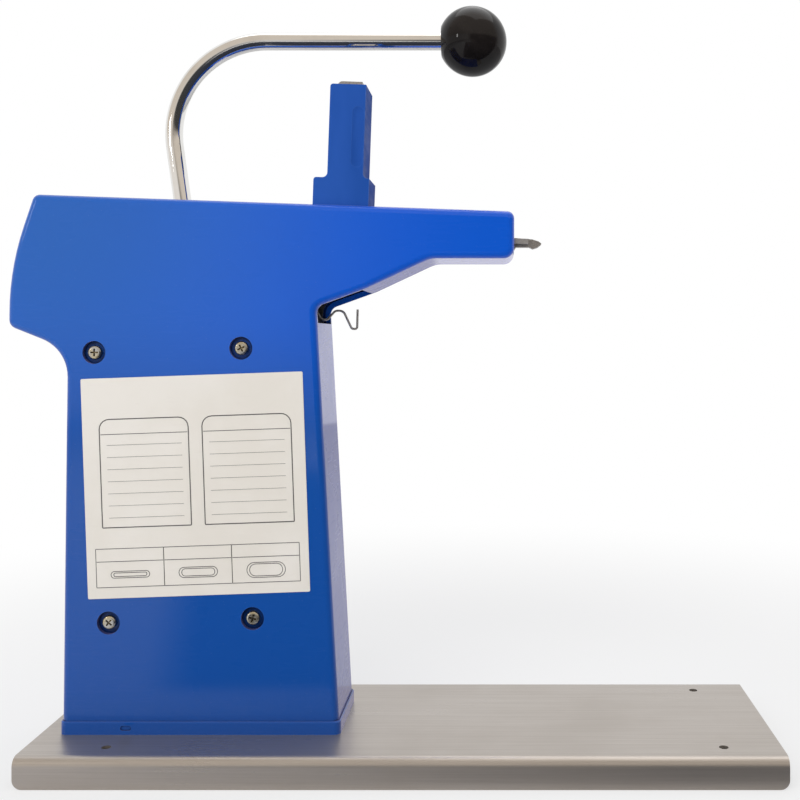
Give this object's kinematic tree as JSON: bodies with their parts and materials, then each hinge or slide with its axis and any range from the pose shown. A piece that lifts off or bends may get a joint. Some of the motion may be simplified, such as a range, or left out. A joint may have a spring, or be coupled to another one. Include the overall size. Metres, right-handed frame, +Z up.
{
  "type": "bag clipping machine",
  "caption": "Bench bag clipper: a ball-ended lever turns a toothed sector whose rack ram drives U clips from a tower to a finger at the nose, on a steel base plate",
  "frame": {"origin": "on the ground under the middle of the whole outline", "axes": "+Z up, +X toward the nose, -Y toward the side that carries the plate"},
  "size_m": [0.418, 0.12, 0.4248],
  "materials": {
    "casing_blue": "glossy moulded shell",
    "base_steel": "brushed along its length",
    "frame_steel": "plain cut steel",
    "ground_steel": "ground",
    "spring_steel": "bright drawn wire",
    "zinc_steel": "zinc plated",
    "handle_chrome": "polished chrome",
    "knob_black": "polished moulding",
    "plate_cream": "satin printed plate",
    "cast_alloy": "milled",
    "bronze": "turned bronze",
    "stop_rubber": "matt",
    "clip_aluminium": "drawn strip"
  },
  "bodies": {
    "frame": {"base_plate": "base_steel", "foot_block": "cast_alloy", "foot_bolts": "zinc_steel", "foot_washers": "zinc_steel", "near_cover": "casing_blue", "far_cover": "casing_blue", "near_cover_screws": "zinc_steel", "far_cover_screws": "zinc_steel", "clinch_nuts": "zinc_steel", "label_plate": "plate_cream", "near_side_plate": "frame_steel", "far_side_plate": "frame_steel", "frame_pillars": "frame_steel", "nose_spacers": "frame_steel", "frame_screws": "zinc_steel", "shaft_bushes": "bronze", "stop_pins": "zinc_steel", "stop_sleeves": "stop_rubber", "spring_post": "ground_steel", "return_spring": "spring_steel", "ram_guide": "ground_steel", "guide_screws": "zinc_steel", "anvil_finger": "ground_steel", "finger_screws": "zinc_steel", "waiting_clip": "clip_aluminium", "clip_tower": "casing_blue", "tower_liner": "ground_steel", "clip_stack": "clip_aluminium", "wire_hook": "spring_steel", "wire_screw": "zinc_steel"},
    "lever": {"pivot_shaft": "ground_steel", "hub_pins": "zinc_steel", "sector_gear": "frame_steel", "handle_arm": "frame_steel", "handle_rod": "handle_chrome", "set_screws": "zinc_steel", "ball_knob": "knob_black", "spring_lug_pin": "ground_steel"},
    "driver": {"ram": "ground_steel", "driven_clip": "clip_aluminium"},
    "weight": {"clip_weight": "ground_steel"}
  },
  "joints": [
    {"name": "lever_hinge", "type": "hinge", "parent": "frame", "child": "lever", "pos_m": [-0.111, 0, 0.1283], "axis": [0, 1, 0], "range_deg": [0, 30], "stiffness_Nm_per_rad": 0.7, "springref_deg": -51.57, "deforming": ["return_spring"]},
    {"name": "driver_slide", "type": "slide", "parent": "frame", "child": "driver", "axis": [0.9994, 0, -0.0354], "range_m": [0, 0.0823]},
    {"name": "weight_slide", "type": "slide", "parent": "frame", "child": "weight", "axis": [0.0354, 0, 0.9994], "range_m": [0, 0.036]}
  ],
  "couplings": [
    {"joint": "driver_slide", "follows": "lever_hinge", "m_per_rad": 0.157}
  ]
}
